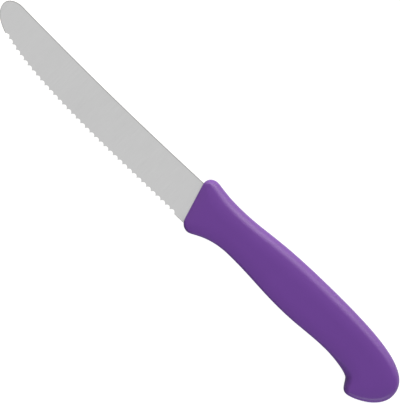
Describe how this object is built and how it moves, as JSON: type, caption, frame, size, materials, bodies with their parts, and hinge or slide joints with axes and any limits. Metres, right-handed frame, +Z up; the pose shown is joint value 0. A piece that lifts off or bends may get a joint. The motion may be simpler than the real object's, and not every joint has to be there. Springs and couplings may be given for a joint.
{
  "type": "serrated breakfast knife",
  "caption": "Breakfast knife with a round-nosed, wave-ground steel blade and a purple moulded plastic handle with a finger guard and a hooked butt.",
  "frame": {"origin": "under the middle of the knife's box, on the surface that it lies on", "axes": "+X from the blade's tip to the butt, +Y from the cutting edge towards the blade's back, +Z up, out of the side that the picture shows"},
  "size_m": [0.22, 0.0262, 0.0125],
  "materials": {
    "blade_steel": "fine satin, ground from back to edge",
    "handle_plastic": "satin moulded, purple"
  },
  "bodies": {
    "root": {"blade": "blade_steel", "handle": "handle_plastic"}
  },
  "joints": []
}
